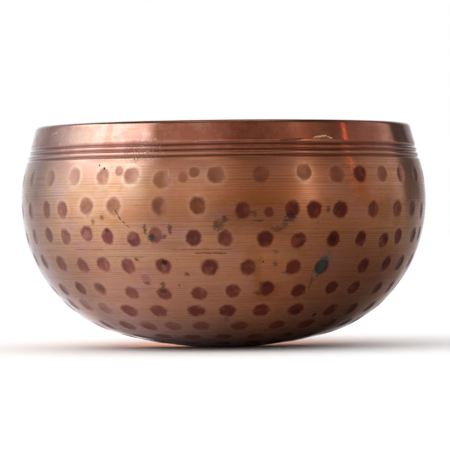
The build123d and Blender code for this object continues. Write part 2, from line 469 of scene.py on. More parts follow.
def ring_levels():
    """Arc lengths of the turned rings from the top of the hammered wall to the inside's middle."""
    levels = []
    edge = S_TOP
    for middle in S_GROOVES[::-1]:
        levels += list(np.linspace(edge, middle - GROOVE_HALF, 4)[1:-1])
        levels += list(middle + GROOVE_HALF * np.linspace(-1, 1, 11))
        edge = middle + GROOVE_HALF
    round_start = S_LIP - LIP_OUTER * (math.pi / 2 + RIM_LEAN)
    levels += list(np.linspace(edge, round_start, 9)[1:])
    levels += list(np.linspace(round_start, S_LIP + 0.1, 9)[1:])
    levels += list(np.linspace(S_LIP + 0.1, S_INSIDE + 2.5, 14)[1:])
    levels += list(np.linspace(S_INSIDE + 2.5, PROFILE.total - 6.0, 78)[1:])
    levels += list(np.linspace(PROFILE.total - 6.0, PROFILE.total, 5)[1:-1])
    return np.array(levels)


def band(lower, upper):
    """Quads between two rings with the same number of points."""
    count = len(lower)
    return [(lower[i], lower[(i + 1) % count], upper[(i + 1) % count], upper[i]) for i in range(count)]


def fan(ring, middle):
    """Triangles between a ring of points and its middle."""
    return [(ring[i], ring[(i + 1) % len(ring)], middle) for i in range(len(ring))]


def flat_foot(start):
    """The foot's inner rings and middle: their points, numbered from start, and their faces."""
    points, faces = [], []
    outer = range(FOOT_COLUMNS)
    for radius in FOOT_RINGS:
        ring = range(start + len(points), start + len(points) + FOOT_COLUMNS)
        for turn in np.arange(FOOT_COLUMNS) * FULL_TURN / FOOT_COLUMNS:
            points.append((radius * math.sin(turn), -radius * math.cos(turn), 0.0))
        faces += band(ring, outer)
        outer = ring
    faces += fan(outer[::-1], start + len(points))
    points.append((0.0, 0.0, 0.0))
    return points, faces


def build_bowl():
    """Each point's azimuth, arc length, place and normal, and the faces."""
    azimuth, s, tris = hammered_mesh()
    faces = [tuple(tri) for tri in tris.tolist()]
    ring_azimuth = np.arange(RIM_COLUMNS) * FULL_TURN / RIM_COLUMNS
    below = range(FOOT_COLUMNS, FOOT_COLUMNS + RIM_COLUMNS)
    for level in ring_levels():
        ring = range(len(s), len(s) + RIM_COLUMNS)
        azimuth = np.concatenate([azimuth, ring_azimuth])
        s = np.concatenate([s, np.full(RIM_COLUMNS, level)])
        faces += band(below, ring)
        below = ring
    points = surface(azimuth, s)
    normal = normals(azimuth, s)
    # the inside's middle, and the flat foot
    faces += fan(below, len(points))
    foot_points, foot_faces = flat_foot(len(points) + 1)
    faces += foot_faces
    foot_count = len(foot_points)
    points = np.concatenate([points, [(0.0, 0.0, PROFILE.points[-1, 1])], foot_points])
    normal = np.concatenate([normal, [(0.0, 0.0, 1.0)], [(0.0, 0.0, -1.0)] * foot_count])
    s = np.concatenate([s, [PROFILE.total], np.zeros(foot_count)])
    azimuth = np.concatenate([azimuth, np.zeros(1 + foot_count)])
    return azimuth, s, points, normal, faces


def put(mesh, name, values):
    """Keeps one number for each point of the mesh, for the material to read."""
    layer = mesh.attributes.new(name, "FLOAT", "POINT")
    layer.data.foreach_set("value", np.asarray(values, np.float32))


def bowl_mesh():
    """The bowl's mesh with its normals and the values that drive its material."""
    azimuth, s, points, normal, faces = build_bowl()
    mesh = bpy.data.meshes.new("hammered_bowl")
    mesh.from_pydata((points * MM).tolist(), [], faces)
    mesh.polygons.foreach_set("use_smooth", [True] * len(mesh.polygons))
    mesh.validate()
    which, q = nearest_mark(azimuth, np.where(s < S_TOP, s, OFF_THE_WALL))
    put(mesh, "mark", q)
    put(mesh, "mark_tone", MARK_TONE[which])
    # the strength of each mark's painted highlight ring
    put(mesh, "mark_highlight_ring", MARK_HIGHLIGHT_RING[which])
    put(mesh, "mark_cover", MARK_COVER[which])
    put(mesh, "run", s)
    put(mesh, "groove", groove_cut(s) / GROOVE_DEPTH)
    put(mesh, "inside", np.clip(s - S_LIP, 0, 1))
    mesh.normals_split_custom_set_from_vertices(normal.tolist())
    return mesh


def add_object(name, data):
    made = bpy.data.objects.new(name, data)
    bpy.context.scene.collection.objects.link(made)
    return made


bowl = add_object("hammered_bowl", bowl_mesh())
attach(bowl, "root")
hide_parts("bowl")


# ---------------- material
class Graph:
    """Short names for a material's nodes."""

    def __init__(self, tree):
        self.tree = tree

    def node(self, kind, **settings):
        made = self.tree.nodes.new("ShaderNode" + kind)
        for key, value in settings.items():
            setattr(made, key, value)
        return made

    def feed(self, socket, value):
        """Links a socket to another's output, or sets its value, with alpha 1 added to a colour."""
        if isinstance(value, bpy.types.NodeSocket):
            self.tree.links.new(value, socket)
        elif value is not None:
            if hasattr(socket.default_value, "__len__"):
                size = len(socket.default_value)
                value = tuple(value) + (1.0,) * (size - len(value))
            socket.default_value = value

    def fill(self, node, values):
        """Feeds a node's inputs by name."""
        for name, value in values.items():
            self.feed(node.inputs[name], value)

    def math(self, operation, a, b=None, c=None):
        made = self.node("Math", operation=operation)
        for socket, value in zip(made.inputs, (a, b, c)):
            self.feed(socket, value)
        return made.outputs[0]

    def times(self, first, *others):
        """The product of numbers or sockets."""
        for other in others:
            first = self.math("MULTIPLY", first, other)
        return first

    def plus(self, a, b):
        return self.math("ADD", a, b)

    def vector(self, operation, a, b=None, scale=None):
        made = self.node("VectorMath", operation=operation)
        self.feed(made.inputs[0], a)
        self.feed(made.inputs[1], b)
        if scale is not None:
            self.feed(made.inputs["Scale"], scale)
        gives_number = operation in ("LENGTH", "DOT_PRODUCT")
        return made.outputs["Value" if gives_number else "Vector"]

    def offset(self, point, start, stretch):
        return self.vector("MULTIPLY", self.vector("SUBTRACT", point, start), stretch)

    def combine(self, x, y, z):
        made = self.node("CombineXYZ")
        for socket, value in zip(made.inputs, (x, y, z)):
            self.feed(socket, value)
        return made.outputs[0]

    def separate(self, vector):
        made = self.node("SeparateXYZ")
        self.feed(made.inputs[0], vector)
        return tuple(made.outputs)

    def azimuth(self, x, y):
        """Radians round from the front, -Y, growing towards +X."""
        return self.math("ARCTAN2", x, self.times(y, -1.0))

    def attribute(self, name):
        return self.node("Attribute", attribute_name=name).outputs["Fac"]

    def noise(self, vector, scale, detail, roughness):
        made = self.node("TexNoise")
        self.fill(made, {"Vector": vector, "Scale": scale, "Detail": detail, "Roughness": roughness})
        return made.outputs[0]

    def span(self, value, low, high, to_low=0.0, to_high=1.0):
        """Maps low..high to to_low..to_high smoothly, clamped."""
        made = self.node("MapRange", interpolation_type="SMOOTHSTEP")
        for socket, number in zip(made.inputs, (value, low, high, to_low, to_high)):
            self.feed(socket, number)
        return made.outputs[0]

    def mix(self, factor, a, b, blend="MIX"):
        """Mixes colours."""
        made = self.node("Mix", data_type="RGBA", blend_type=blend)
        self.feed(made.inputs[0], factor)
        self.feed(made.inputs[6], a)
        self.feed(made.inputs[7], b)
        return made.outputs[2]

    def blend(self, factor, a, b):
        """Mixes numbers."""
        made = self.node("Mix", data_type="FLOAT")
        self.feed(made.inputs[0], factor)
        self.feed(made.inputs[2], a)
        self.feed(made.inputs[3], b)
        return made.outputs[0]


STREAK_RADIUS = 57.3  # makes a direction round the bowl into a length, for the noise along it
TOOL_FEED = 1.18  # spacing of the evenly repeated turning lines
RELIEF_HEIGHT = 0.00001

GOLDEN = (0.93, 0.41, 0.17)
ROSY = (0.91, 0.375, 0.21)
RIM_ROSE = (0.91, 0.37, 0.245)
RIM_DEEP = (0.74, 0.225, 0.13)
BROWN = (0.66, 0.235, 0.085)
SIENNA = (0.78, 0.27, 0.07)
MAUVE = (0.86, 0.38, 0.29)
LINE_DARK = (0.46, 0.150, 0.060)
LINE_LIGHT = (0.99, 0.53, 0.27)
MARK_BROWN = (0.52, 0.172, 0.062)
MARK_RED = (0.46, 0.126, 0.078)
MARK_DARK = (0.30, 0.062, 0.042)
# A painted highlight: the bright ring on marks' raised edges, and a bright patch on the rim.
PAINTED_HIGHLIGHT = (1.00, 0.58, 0.34)
PEACH = (0.84, 0.325, 0.195)
# the colour the grooves darken to
GROOVE_DARK = (0.24, 0.060, 0.030)
# Painted shade: the dark lip edge and the outside darkening towards the foot.
PAINTED_SHADE_BROWN = (0.22, 0.075, 0.035)
VERDIGRIS = (0.012, 0.027, 0.023)
OLIVE = (0.022, 0.018, 0.008)
ASH = (0.026, 0.018, 0.015)
SOOT = (0.006, 0.003, 0.003)
CRACK = (0.110, 0.035, 0.020)
WAX = (0.52, 0.37, 0.24)
CREAM = (0.58, 0.41, 0.25)
OCHRE = (0.58, 0.21, 0.045)
ORANGE = (0.86, 0.23, 0.035)

# Crusts, stains and scratches on the front, placed by azimuth in degrees and height in millimetres.
# An area is its azimuth, height, half width and half height.
BUFFED = (-48.0, 80.0, 24.0, 7.0)
POLISHED = (40.0, 81.5, 2.6, 6.0)
WAXED = (-23.5, 86.0, 8.0, 4.2)
# Crusts, and stains with one painted rim highlight: an area, its colour, and the share of the surface
# covered.
CRUSTS = [
    (29.8, 36.4, 2.4, 3.8, VERDIGRIS, 0.97),
    (31.2, 39.8, 1.3, 2.2, VERDIGRIS, 0.9),
    (28.2, 32.6, 1.6, 2.8, VERDIGRIS, 0.8),
    (27.6, 28.8, 0.6, 2.6, OLIVE, 0.7),
    (-1.6, 53.9, 2.4, 2.4, OLIVE, 0.95),
    (0.2, 56.4, 1.7, 1.3, OLIVE, 0.7),
    (-21.9, 52.2, 0.8, 2.2, ASH, 0.9),
    (-20.2, 48.8, 1.5, 1.4, VERDIGRIS, 0.9),
    (-14.8, 52.4, 1, 2, ASH, 0.8),
    (-16.5, 49.4, 1, 1, OLIVE, 0.7),
    (18.2, 56.8, 1.9, 2, SOOT, 0.92),
    (16.6, 54.4, 1.2, 2, SOOT, 0.88),
    (14.6, 51.9, 2.6, 1.2, ASH, 0.8),
    (8.2, 58.6, 1.3, 1.6, OLIVE, 0.75),
    (9.6, 55.6, 2.2, 0.6, SOOT, 0.45),
    (-35.1, 57.6, 1.1, 0.9, ASH, 0.6),
    (-38.3, 56, 1, 1.3, ASH, 0.55),
    (14.8, 37.4, 0.9, 1, OLIVE, 0.9),
    (14.6, 42.4, 0.9, 0.8, CRACK, 0.8),
    (11.3, 38.4, 0.35, 0.35, SOOT, 1),
    (12.6, 29.2, 2.4, 1, OLIVE, 0.8),
    (10.7, 25, 1.4, 0.7, SOOT, 0.8),
    (18.2, 33.8, 1.4, 0.5, SOOT, 0.8),
    (-19.2, 29.2, 1.2, 1.3, OLIVE, 0.7),
    (-19.6, 26.6, 1.7, 1, ASH, 0.75),
    (-43, 27.4, 1.7, 1.8, OLIVE, 0.45),
    (-11.2, 33.3, 1.1, 0.8, OLIVE, 0.65),
    (-17.4, 38.6, 1.3, 0.9, SOOT, 0.7),
    (-25.8, 39.9, 1, 0.7, CRACK, 0.8),
    (-24.2, 29.6, 1.5, 0.8, CRACK, 0.5),
    (-14, 28.8, 0.4, 0.6, CRACK, 0.8),
    (31.7, 47.6, 1.6, 2, OLIVE, 0.6),
    (29.4, 60.2, 0.9, 1.6, OLIVE, 0.75),
    (26.4, 54.8, 0.35, 0.5, SOOT, 0.9),
    (27, 16.6, 1.6, 1.1, SOOT, 0.75),
    (35.9, 15.2, 1.1, 1, SOOT, 1),
    (-33.9, 52.4, 1.1, 1, ASH, 0.5),
    (-36.4, 79.8, 0.35, 0.4, SOOT, 0.9),
    (-34.6, 78.4, 0.5, 0.5, SOOT, 1),
    (56, 36.8, 1.2, 1.4, OLIVE, 0.7),
    (0.6, 13.8, 1.3, 1.2, OLIVE, 0.5),
]
STAINS_AND_RIM_HIGHLIGHT = [
    (41, 71.5, 4.6, 7, ORANGE, 0.85),
    (44, 64, 7, 3, SIENNA, 0.8),
    (50, 60, 6, 5, OCHRE, 0.6),
    (57, 58, 3, 6, OCHRE, 0.6),
    (63, 62, 3, 7, OCHRE, 0.4),
    (13.4, 27, 5.2, 4.4, OCHRE, 0.7),
    (9.8, 33, 1.6, 6, OCHRE, 0.6),
    (20, 41.5, 4, 3, OCHRE, 0.5),
    (8, 40, 3, 5, OCHRE, 0.4),
    (-15, 45.5, 9, 2, OCHRE, 0.35),
    (-28, 59, 12, 4, SIENNA, 0.55),
    (-12, 62, 14, 6, SIENNA, 0.5),
    (8, 66, 20, 3.5, SIENNA, 0.7),
    (-45, 66, 8, 3, SIENNA, 0.4),
    (-16.5, 78, 2.2, 4, SIENNA, 0.5),
    (-19, 92, 2.4, 2.6, BROWN, 0.6),
    # a painted highlight: a bright patch on the rim at the left
    (-46, 92.5, 12, 6, PAINTED_HIGHLIGHT, 0.35),
    (-44, 80, 18, 5.5, PEACH, 0.75),
    (-14, 80, 14, 5, PEACH, 0.45),
    (46, 93, 16, 6, MARK_RED, 0.5),
    (-27, 41.5, 17, 2.4, LINE_LIGHT, 0.4),
    (18, 41, 5, 2.4, LINE_LIGHT, 0.4),
    (16, 31, 6, 2, LINE_LIGHT, 0.3),
]
# Strokes: first azimuth and height, last azimuth and height, half width, colour, share covered.
STROKES = [
    (-30.6, 60.6, -29.3, 57.2, 0.32, CRACK, 0.9),
    (-29.3, 57.2, -26.6, 53.4, 0.22, CRACK, 0.9),
    (-47, 44.3, -36, 44, 0.17, CRACK, 0.6),
    (-36, 41.2, -23, 40.8, 0.22, CRACK, 0.5),
    (-14.5, 43.8, 2, 43.8, 0.18, CRACK, 0.9),
    (-8, 42.3, 0.4, 42.2, 0.34, CRACK, 0.6),
    (16.4, 89.2, 23.4, 89.9, 0.26, SOOT, 0.6),
    (26.9, 90.5, 30.7, 91.3, 0.42, CREAM, 1),
    (30.7, 91.3, 32.7, 90.2, 0.34, CREAM, 0.9),
    (-9.2, 88.9, -6.8, 89.3, 0.26, WAX, 0.8),
    (-61, 94.3, -58, 94.6, 0.45, WAX, 1),
    (-76, 94, -71, 90.2, 1.1, WAX, 0.8),
    (-65.2, 72.4, -65, 70, 0.30, WAX, 0.8),
    (-74.5, 68.4, -71.5, 64.6, 0.6, WAX, 0.6),
    (-15, 77.4, -14.4, 74.6, 0.24, WAX, 0.8),
    (-46.6, 57, -44, 55.2, 0.26, WAX, 0.5),
    (-10, 70.2, 24, 70.4, 0.16, LINE_LIGHT, 0.45),
    (24, 70.4, 60, 70.6, 0.2, LINE_LIGHT, 0.75),
    (-57, 69.4, -19, 69.6, 0.18, LINE_LIGHT, 0.5),
]


def degrees_to_mm(height):
    """Millimetres along the outside for one degree of azimuth at a height."""
    return float(PROFILE.at(s_at(height))[0]) * math.pi / 180


def patch(g, spot, area, wander, edge):
    """A mask that is 1 inside an uneven patch of the wall and falls to 0 past its edge."""
    azimuth, height, half_width, half_height = area
    stretch = (degrees_to_mm(height) / half_width, 1.0 / half_height, 0.0)
    offset = g.offset(spot, (azimuth, height, 0.0), stretch)
    reach = g.plus(g.vector("LENGTH", offset), wander)
    return g.span(reach, 1.0 + edge, 1.0 - edge)


def stroke(g, spot, first, last, half_width, wander):
    """A mask that is 1 along a thin line on the wall, fading and breaking towards its ends."""
    scale = degrees_to_mm((first[1] + last[1]) / 2)
    run_x, run_z = (last[0] - first[0]) * scale, last[1] - first[1]
    length = math.hypot(run_x, run_z)
    offset = g.offset(spot, (*first, 0.0), (scale, 1.0, 0.0))
    along = g.vector("DOT_PRODUCT", offset, (run_x / length, run_z / length, 0.0))
    side = g.math("ABSOLUTE", g.vector("DOT_PRODUCT", offset, (-run_z / length, run_x / length, 0.0)))
    centred = g.math("ABSOLUTE", g.math("SUBTRACT", along, length / 2))
    past = g.math("MAXIMUM", g.math("SUBTRACT", centred, length / 2), 0.0)
    reach = g.plus(g.plus(side, past), g.times(wander, half_width))
    return g.span(reach, half_width * 1.5, half_width * 0.5)


class Wall:
    """What the material knows of a point: its place on the bowl in millimetres, and the noises there."""

    def __init__(self, g):
        self.place = g.vector("SCALE", g.node("TexCoord").outputs["Object"], scale=1 / MM)
        x, y, self.height = g.separate(self.place)
        direction_x, direction_y, _ = g.separate(g.vector("NORMALIZE", g.combine(x, y, 0.0)))
        self.spot = g.combine(g.times(g.azimuth(x, y), 180 / math.pi), self.height, 0.0)
        self.run = g.attribute("run")

        def streaks(length, width, detail=2.0, roughness=0.55):
            """Noise drawn out as turning leaves it: length round the bowl, width along the wall."""
            vector = g.combine(g.times(direction_x, STREAK_RADIUS / length),
                               g.times(direction_y, STREAK_RADIUS / length),
                               g.math("DIVIDE", self.run, width))
            return g.noise(vector, 1.0, detail, roughness)

        self.fine = streaks(110.0, 0.34, 2.0, 0.6)
        self.broken = streaks(14.0, 0.6)
        self.coarse = streaks(60.0, 1.7)
        self.bands = streaks(110.0, 5.5)
        self.worn = streaks(26.0, 6.0, 3.0, 0.6)
        self.mottle = g.noise(self.place, 0.5, 4.0, 0.65)
        self.in_mark = g.plus(g.attribute("mark"), g.span(self.mottle, 0.3, 0.7, -0.10, 0.10))
        self.marked = g.times(g.span(self.in_mark, 1.30, 0.80), g.attribute("mark_cover"))
        self.on_rim = g.span(self.run, S_TOP, S_TOP + 4.5)
        self.outside = g.math("SUBTRACT", 1.0, g.attribute("inside"))
        self.wander = g.math("MULTIPLY_ADD", g.noise(self.place, 0.35, 4.0, 0.7), 2.4, -1.2)
        self.ragged = g.math("MULTIPLY_ADD", g.noise(self.place, 1.5, 5.0, 0.8), 4.4, -2.2)


def metal_tones(g, wall):
    """The colour of the clean metal: broad bands and blotches of tone."""
    cloud = g.noise(wall.place, 0.045, 4.0, 0.6)
    blotch = g.noise(wall.place, 0.11, 4.0, 0.65)
    patchy = g.noise(g.vector("ADD", wall.place, (310.0, 90.0, 40.0)), 0.07, 4.0, 0.6)
    mixed = g.plus(g.times(wall.bands, 0.6), g.times(cloud, 0.7))
    belly = g.times(g.span(wall.height, 50.0, 26.0, 1.0, 0.3),
                   g.span(wall.height, 70.0, 80.0, 1.0, 0.35))
    colour = g.mix(g.times(g.span(mixed, 0.50, 0.80), belly), ROSY, GOLDEN)
    rim_tone = g.mix(g.span(blotch, 0.42, 0.62), RIM_DEEP, RIM_ROSE)
    colour = g.mix(g.times(wall.on_rim, 0.85), colour, rim_tone)
    off_rim = g.math("SUBTRACT", 1.0, wall.on_rim)
    colour = g.mix(g.times(g.span(blotch, 0.54, 0.72, 0.0, 0.55), off_rim), colour, SIENNA)
    colour = g.mix(g.times(g.span(patchy, 0.52, 0.66, 0.0, 0.7), off_rim), colour, MAUVE)
    return g.mix(g.span(wall.coarse, 0.52, 0.72, 0.0, 0.5), colour, BROWN)


def turning_lines(g, wall):
    """Masks of the dark and light lines of turning, weaker on the rim, in the marks and where buffed."""
    buffed = patch(g, wall.spot, BUFFED, g.math("SUBTRACT", wall.worn, 0.5), 0.5)
    strength = g.times(g.span(wall.worn, 0.34, 0.62, 0.4, 1.0), g.span(wall.on_rim, 0.0, 1.0, 1.0, 0.5),
                       g.math("MULTIPLY_ADD", wall.marked, -0.92, 1.0),
                       g.math("MULTIPLY_ADD", buffed, -0.6, 1.0))
    phase = g.plus(g.times(wall.run, FULL_TURN / TOOL_FEED), g.times(wall.coarse, 3.0))
    feed_lines = g.math("MULTIPLY_ADD", g.math("SINE", phase), 0.5, 0.5)
    feed_dark = g.times(g.span(feed_lines, 0.62, 0.15, 0.0, 0.9), g.span(wall.broken, 0.36, 0.56))
    dark = g.math("MAXIMUM", g.span(wall.fine, 0.52, 0.70), feed_dark)
    light = g.span(wall.fine, 0.44, 0.28)
    return g.times(dark, strength), g.times(light, strength)


def add_stains_and_rim_highlight(g, wall, colour):
    for *area, tint, amount in STAINS_AND_RIM_HIGHLIGHT:
        mask = patch(g, wall.spot, area, wall.wander, 0.6)
        colour = g.mix(g.times(mask, amount, wall.outside), colour, tint)
    return colour


def add_oxide_and_highlight_rings(g, wall, colour):
    """Oxide in the marks, and a painted highlight: a soft bright ring on each mark's raised edge."""
    # the painted highlight ring on each mark's raised edge
    ring = g.times(g.span(wall.in_mark, 1.05, 1.30), g.span(wall.in_mark, 1.90, 1.30),
                   g.attribute("mark_highlight_ring"), g.span(wall.mottle, 0.3, 0.6, 0.4, 0.8))
    colour = g.mix(ring, colour, PAINTED_HIGHLIGHT)
    tone = g.attribute("mark_tone")
    oxide = g.mix(g.span(tone, 0.1, 0.55), MARK_BROWN, MARK_RED)
    oxide = g.mix(g.span(tone, 0.55, 1.0), oxide, MARK_DARK)
    oxide = g.mix(g.span(wall.mottle, 0.46, 0.75, 0.0, 0.6), oxide, MARK_DARK)
    uneven = g.noise(g.vector("ADD", wall.place, (70.0, 30.0, 10.0)), 0.24, 2.0, 0.5)
    oxide = g.mix(g.span(uneven, 0.45, 0.68, 0.0, 0.55), oxide, MARK_DARK)
    oxide = g.mix(g.span(uneven, 0.48, 0.30, 0.0, 0.3), oxide, ROSY)
    return g.mix(wall.marked, colour, oxide)


def add_crusts(g, wall, colour):
    """Crusts, then scratches. The crust mask leaves out the scratches that show bright metal."""
    crust = 0.0
    specks = g.span(g.noise(wall.place, 1.9, 3.0, 0.6), 0.36, 0.58, 0.35, 1.0)
    for *area, tint, amount in CRUSTS:
        mask = g.times(patch(g, wall.spot, area, wall.ragged, 0.25), amount, wall.outside)
        if tint in (OLIVE, ASH):
            mask = g.times(mask, specks)
        colour = g.mix(mask, colour, tint)
        crust = g.math("MAXIMUM", mask, crust)
    torn = g.span(g.noise(wall.place, 1.2, 4.0, 0.7), 0.40, 0.53, 0.1, 1.0)
    for azimuth, height, last_azimuth, last_height, half_width, tint, amount in STROKES:
        ends = (azimuth, height), (last_azimuth, last_height)
        mask = stroke(g, wall.spot, *ends, half_width, wall.ragged)
        mask = g.times(mask, torn, wall.outside, amount)
        colour = g.mix(mask, colour, tint)
        if tint != LINE_LIGHT:
            crust = g.math("MAXIMUM", mask, crust)
    return colour, crust


def add_wax(g, wall, colour, crust):
    """Wax and polish dried white in the grooves."""
    flecks = g.span(g.noise(wall.place, 1.7, 4.0, 0.7), 0.51, 0.58)
    waxed = g.times(flecks, wall.outside, patch(g, wall.spot, WAXED, wall.wander, 0.6), 0.8)
    return g.mix(waxed, colour, WAX), g.math("MAXIMUM", waxed, crust)


def add_painted_edge_shade(g, wall, colour):
    """The lip's edge and the outside towards the foot are darker: painted shade, a dark reflection along
    the lip and a shadow near the floor.
    """
    past_lip = g.math("SUBTRACT", wall.run, S_LIP)
    # a painted dark reflection along the lip's edge
    lip = g.times(g.span(past_lip, -2.4, -1.6), g.span(past_lip, 0.5, -0.3), 0.6)
    colour = g.mix(lip, colour, PAINTED_SHADE_BROWN)
    # painted shadow: the outside darkens towards the foot
    return g.mix(g.times(g.span(wall.height, 20.0, 2.0), wall.outside, 0.35), colour, PAINTED_SHADE_BROWN)


def roughness_of(g, wall, crust):
    """Polished metal, smoother on the rim, with dull oxide in the marks and duller crusts."""
    rough = g.blend(wall.on_rim, 0.26, 0.14)
    rough = g.blend(patch(g, wall.spot, POLISHED, 0.0, 0.5), rough, 0.15)
    rough = g.plus(rough, g.span(wall.fine, 0.3, 0.7, -0.03, 0.04))
    rough = g.blend(wall.marked, rough, g.span(wall.mottle, 0.3, 0.7, 0.44, 0.54))
    return g.blend(crust, rough, 0.85)


def relief_of(g, wall, dark_line, crust):
    """Fine relief as a normal: turning lines sunk, crusts raised, and a little grain."""
    grain = g.noise(wall.place, 2.6, 3.0, 0.6)
    relief = g.plus(g.times(dark_line, -0.5), g.times(wall.coarse, 0.5))
    relief = g.plus(relief, g.times(grain, 0.15))
    relief = g.plus(relief, g.times(crust, 4.0))
    bump = g.node("Bump")
    g.fill(bump, {"Strength": 1.0, "Distance": RELIEF_HEIGHT, "Height": relief})
    return bump.outputs[0]


def copper_material():
    made = bpy.data.materials.new("hammered_copper")
    made.use_nodes = True
    g = Graph(made.node_tree)
    wall = Wall(g)
    dark_line, light_line = turning_lines(g, wall)
    colour = metal_tones(g, wall)
    colour = g.mix(g.times(dark_line, 0.52), colour, LINE_DARK)
    colour = g.mix(g.times(light_line, 0.55), colour, LINE_LIGHT)
    # stains, and one painted highlight on the rim
    colour = add_stains_and_rim_highlight(g, wall, colour)
    colour = add_oxide_and_highlight_rings(g, wall, colour)
    # darker in the grooves
    colour = g.mix(g.span(g.attribute("groove"), 0.35, 0.9, 0.0, 0.88), colour, GROOVE_DARK)
    colour, crust = add_crusts(g, wall, colour)
    colour, crust = add_wax(g, wall, colour, crust)
    # painted shade on the lip's edge and towards the foot
    colour = add_painted_edge_shade(g, wall, colour)
    coat = g.times(g.span(crust, 0.2, 0.8, 0.9, 0.1), g.span(wall.marked, 0.0, 1.0, 1.0, 0.5))
    tangent = g.node("Tangent", direction_type="RADIAL", axis="Z")
    g.fill(made.node_tree.nodes["Principled BSDF"], {
        "Base Color": colour,
        "Roughness": roughness_of(g, wall, crust),
        "Metallic": g.span(crust, 0.62, 0.92, 1.0, 0.05),
        "Normal": relief_of(g, wall, dark_line, crust),
        "Tangent": tangent.outputs[0],
        "Coat Weight": coat,
        "Coat Roughness": 0.12,
        "Specular IOR Level": 0.2,
        "Anisotropic": 0.93,
        "Anisotropic Rotation": 0.25,
    })
    return made


bowl.data.materials.append(copper_material())

# ---------------- camera
CAMERA_DISTANCE = 1.38
CAMERA_HEIGHT = 0.0527
CAMERA_ASIDE = 0.0005
CAMERA_PITCH, CAMERA_ROLL = math.radians(90.055), math.radians(-0.65)
SENSOR_WIDTH = 36.0
VIEW_WIDTH = 0.200835
camera = add_object("camera", bpy.data.cameras.new("camera"))
camera.location = (CAMERA_ASIDE, -CAMERA_DISTANCE, CAMERA_HEIGHT)
camera.rotation_euler = (CAMERA_PITCH, 0.0, 0.0)
camera.rotation_euler.rotate_axis("Z", CAMERA_ROLL)
camera.data.lens = SENSOR_WIDTH * CAMERA_DISTANCE / VIEW_WIDTH
camera.data.clip_end = 100.0
bpy.context.scene.camera = camera


# ---------------- floor and light
def ring_ramp(g, x, y, stops):
    """Levels by direction around the bowl: stops are (azimuth in degrees, level), azimuth 0 in front."""
    made = g.node("ValToRGB")
    g.feed(made.inputs[0], g.math("MULTIPLY_ADD", g.azimuth(x, y), 0.5 / math.pi, 0.5))
    elements = made.color_ramp.elements
    elements.remove(elements[-1])
    for index, (degrees, level) in enumerate(stops):
        element = elements[0] if index == 0 else elements.new((degrees + 180.0) / 360.0)
        element.position = (degrees + 180.0) / 360.0
        element.color = tuple(level) + (1.0,) if hasattr(level, "__len__") else (level, level, level, 1.0)
    return made.outputs[0]


WHITE, BLACK = (1.0, 1.0, 1.0), (0.0, 0.0, 0.0)
# The floor as the metal sees it, close by and far off, the glow round the foot, and their tint.
NEAR_FLOOR = [
    (-180, 0.85), (-150, 0.95), (-138, 0.78), (-128, 0.48), (-100, 0.30), (-78, 0.36), (-55, 0.51),
    (-35, 0.46), (0, 0.37), (20, 0.31), (36, 0.20), (60, 0.12), (95, 0.10), (126, 0.17), (138, 0.44),
    (150, 0.70), (180, 0.85),
]
FAR_FLOOR = [
    (-180, 1.0), (-156, 0.70), (-148, 0.56), (-138, 0.42), (-120, 0.36), (-108, 0.44), (-84, 0.68),
    (-60, 0.64), (-44, 0.44), (-34, 0.31), (-12, 0.28), (0, 0.08), (24, 0.10), (40, 0.15), (60, 0.21),
    (110, 0.22), (130, 0.20), (138, 0.26), (148, 0.34), (156, 0.38), (170, 0.72), (180, 1.0),
]
FOOT_GLOW = [
    (-180, 1.3), (-138, 1.5), (-124, 1.45), (-112, 1.15), (-98, 0.77), (-86, 0.42), (-76, 0.18),
    (-65, 0.17), (-47, 0.11), (-36, 0.08), (-18, 0.04), (0, 0.0), (76, 0.0), (88, 0.06), (98, 0.20),
    (113, 0.40), (125, 0.85), (138, 1.4), (180, 1.3),
]
FLOOR_TINT = [
    (-180, (1, 1, 1)), (-120, (1, 1.2, 1.4)), (-50, (1, 1.12, 1.35)), (0, (1, 0.95, 0.92)),
    (20, (1, 0.78, 0.62)), (90, (1, 0.80, 0.70)), (140, (1, 1, 1)), (180, (1, 1, 1)),
]
FLOOR_RINGS = (0.3, 1.0, 4.0, 16.0, 60.0)
FLOOR_COLUMNS = 96
FAR_FROM, FAR_BY = 0.13, 0.30
GLOW_RADIUS, GLOW_REACH = 0.045, 0.035


def floor_disc():
    """A wide plain disc at the height that the bowl stands on."""
    verts = [(0.0, 0.0, low.z)]
    for radius in FLOOR_RINGS:
        for i in range(FLOOR_COLUMNS):
            turn = FULL_TURN * i / FLOOR_COLUMNS
            verts.append((radius * math.cos(turn), radius * math.sin(turn), low.z))
    inner = range(1, 1 + FLOOR_COLUMNS)
    faces = fan(inner, 0)
    while inner.stop < len(verts):
        outer = range(inner.stop, inner.stop + FLOOR_COLUMNS)
        faces += band(outer, inner)
        inner = outer
    data = bpy.data.meshes.new("floor")
    data.from_pydata(verts, [], faces)
    return add_object("floor", data)


def floor_paint():
    """White to the eye; in the metal, dimmer by direction, with a glow round the foot at the back."""
    made = bpy.data.materials.new("pale_floor")
    made.use_nodes = True
    g = Graph(made.node_tree)
    position = g.node("TexCoord").outputs["Object"]
    x, y, _ = g.separate(position)
    distance = g.vector("LENGTH", position)
    near, far = ring_ramp(g, x, y, NEAR_FLOOR), ring_ramp(g, x, y, FAR_FLOOR)
    level = g.mix(g.span(distance, FAR_FROM, FAR_BY), near, far)
    level = g.mix(1.0, level, ring_ramp(g, x, y, FLOOR_TINT), "MULTIPLY")
    past_foot = g.math("MAXIMUM", g.math("SUBTRACT", distance, GLOW_RADIUS), 0.0)
    share = g.math("EXPONENT", g.times(past_foot, -1 / GLOW_REACH))
    behind_or_off = g.math("MAXIMUM", g.span(y, -0.006, 0.008), g.span(distance, 0.034, 0.050))
    share = g.times(share, behind_or_off)
    glow = g.mix(share, BLACK, ring_ramp(g, x, y, FOOT_GLOW))
    glossy = g.node("LightPath").outputs["Is Glossy Ray"]
    g.fill(made.node_tree.nodes["Principled BSDF"], {
        "Base Color": g.mix(glossy, WHITE, level),
        "Emission Color": g.mix(glossy, BLACK, glow),
        "Emission Strength": 1.0,
        "Roughness": 0.8,
        "Specular IOR Level": 0.0,
    })
    return made


